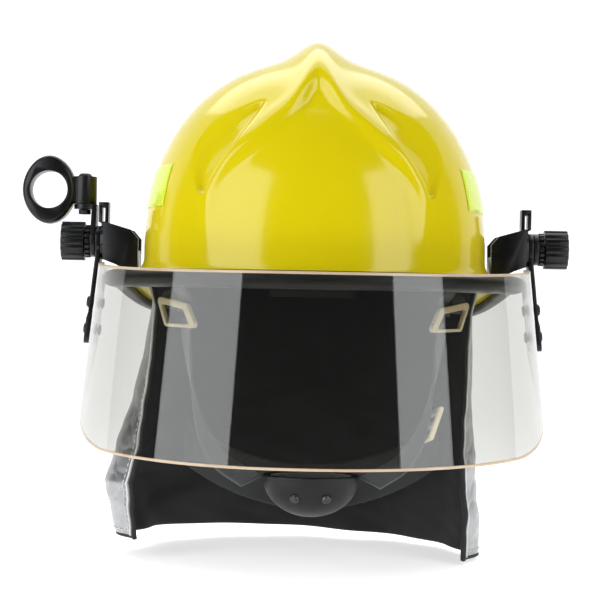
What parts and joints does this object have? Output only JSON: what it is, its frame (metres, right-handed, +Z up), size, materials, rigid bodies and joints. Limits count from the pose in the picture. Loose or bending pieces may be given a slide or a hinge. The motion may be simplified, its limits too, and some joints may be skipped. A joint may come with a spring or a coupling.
{
  "type": "firefighter helmet",
  "caption": "Firefighter helmet: glossy dome with comb and brim, swing-up clear visor on side pivots, torch ring, head harness, chin strap and neck curtain.",
  "frame": {"origin": "centre of the head opening, at the height of the lower edge of the brim trim at the front", "axes": "+Z up, -Y the way the wearer faces, +X the wearer's left"},
  "size_m": [0.3488, 0.3201, 0.327],
  "materials": {
    "shell_yellow": "high gloss painted composite",
    "trim_black": "satin moulding",
    "film_lime": "prismatic retroreflective film",
    "foam_grey": "moulded foam",
    "webbing_black": "woven webbing",
    "pad_black": "padded cloth",
    "nylon_black": "moulded nylon",
    "bracket_black": "satin moulded nylon",
    "steel_dark": "blackened steel",
    "visor_clear": "clear polycarbonate with a slight tint",
    "nylon_cream": "moulded nylon",
    "webbing_grey": "woven webbing",
    "cloth_silver": "aluminised cloth",
    "cloth_black": "woven flame-resistant cloth",
    "cup_black": "moulded plastic"
  },
  "bodies": {
    "helmet": {"shell": "shell_yellow", "edge_trim": "trim_black", "reflector_left": "film_lime", "reflector_right": "film_lime", "impact_liner": "foam_grey", "crown_straps": "webbing_black", "crown_pad": "pad_black", "headband": "nylon_black", "sweatband": "pad_black", "nape_pad": "pad_black", "hanger_clips": "nylon_black", "ratchet_housing": "nylon_black", "bracket_left": "bracket_black", "bracket_right": "bracket_black", "bracket_screws": "steel_dark", "pivot_bolt_left": "steel_dark", "pivot_bolt_right": "steel_dark", "tooth_washer_left": "bracket_black", "tooth_washer_right": "bracket_black", "spacer_left": "bracket_black", "chin_strap_left": "webbing_grey", "chin_strap_right": "webbing_grey", "strap_divider_left": "nylon_cream", "strap_divider_right": "nylon_cream", "strap_slider": "nylon_cream", "chin_cup": "cup_black", "cup_pad": "pad_black", "cup_rivets": "steel_dark", "curtain_outer": "cloth_silver", "curtain_lining": "cloth_black", "curtain_studs": "steel_dark", "throat_band": "cloth_black"},
    "visor": {"visor": "visor_clear", "visor_arm_left": "bracket_black", "visor_arm_right": "bracket_black", "visor_rivets": "steel_dark"},
    "knob_left": {"knob_left": "bracket_black"},
    "knob_right": {"knob_right": "bracket_black"},
    "torch_plate": {"torch_plate": "bracket_black", "torch_pin": "steel_dark"},
    "torch_ring": {"torch_ring": "bracket_black"},
    "adjuster": {"ratchet_knob": "nylon_black", "ratchet_pinion": "nylon_black"},
    "tail_left": {"tail_left": "nylon_black"},
    "tail_right": {"tail_right": "nylon_black"}
  },
  "joints": [
    {"name": "visor_hinge", "type": "hinge", "parent": "helmet", "child": "visor", "pos_m": [0, 0, 0.029], "axis": [-1, 0, 0], "range_deg": [0, 85]},
    {"name": "knob_left_turn", "type": "hinge", "parent": "helmet", "child": "knob_left", "pos_m": [0.15, 0, 0.029], "axis": [1, 0, 0], "continuous": true},
    {"name": "knob_right_turn", "type": "hinge", "parent": "helmet", "child": "knob_right", "pos_m": [-0.15, 0, 0.029], "axis": [-1, 0, 0], "continuous": true},
    {"name": "torch_tilt", "type": "hinge", "parent": "helmet", "child": "torch_plate", "pos_m": [-0.14, 0, 0.029], "axis": [-1, 0, 0], "range_deg": [-20, 20]},
    {"name": "torch_swivel", "type": "hinge", "parent": "torch_plate", "child": "torch_ring", "pos_m": [-0.148, 0.005, 0.06], "axis": [0, 0, 1], "range_deg": [-35, 35]},
    {"name": "adjuster_turn", "type": "hinge", "parent": "helmet", "child": "adjuster", "pos_m": [0, 0.112, 0.012], "axis": [0, 1, 0], "range_deg": [-95, 95]},
    {"name": "tail_left_slide", "type": "slide", "parent": "helmet", "child": "tail_left", "axis": [1, 0, 0], "range_m": [-0.0097, 0.0097]},
    {"name": "tail_right_slide", "type": "slide", "parent": "helmet", "child": "tail_right", "axis": [-1, 0, 0], "range_m": [-0.0097, 0.0097]}
  ],
  "couplings": [
    {"joint": "tail_left_slide", "follows": "adjuster_turn", "m_per_rad": 0.0057296},
    {"joint": "tail_right_slide", "follows": "adjuster_turn", "m_per_rad": 0.0057296}
  ]
}
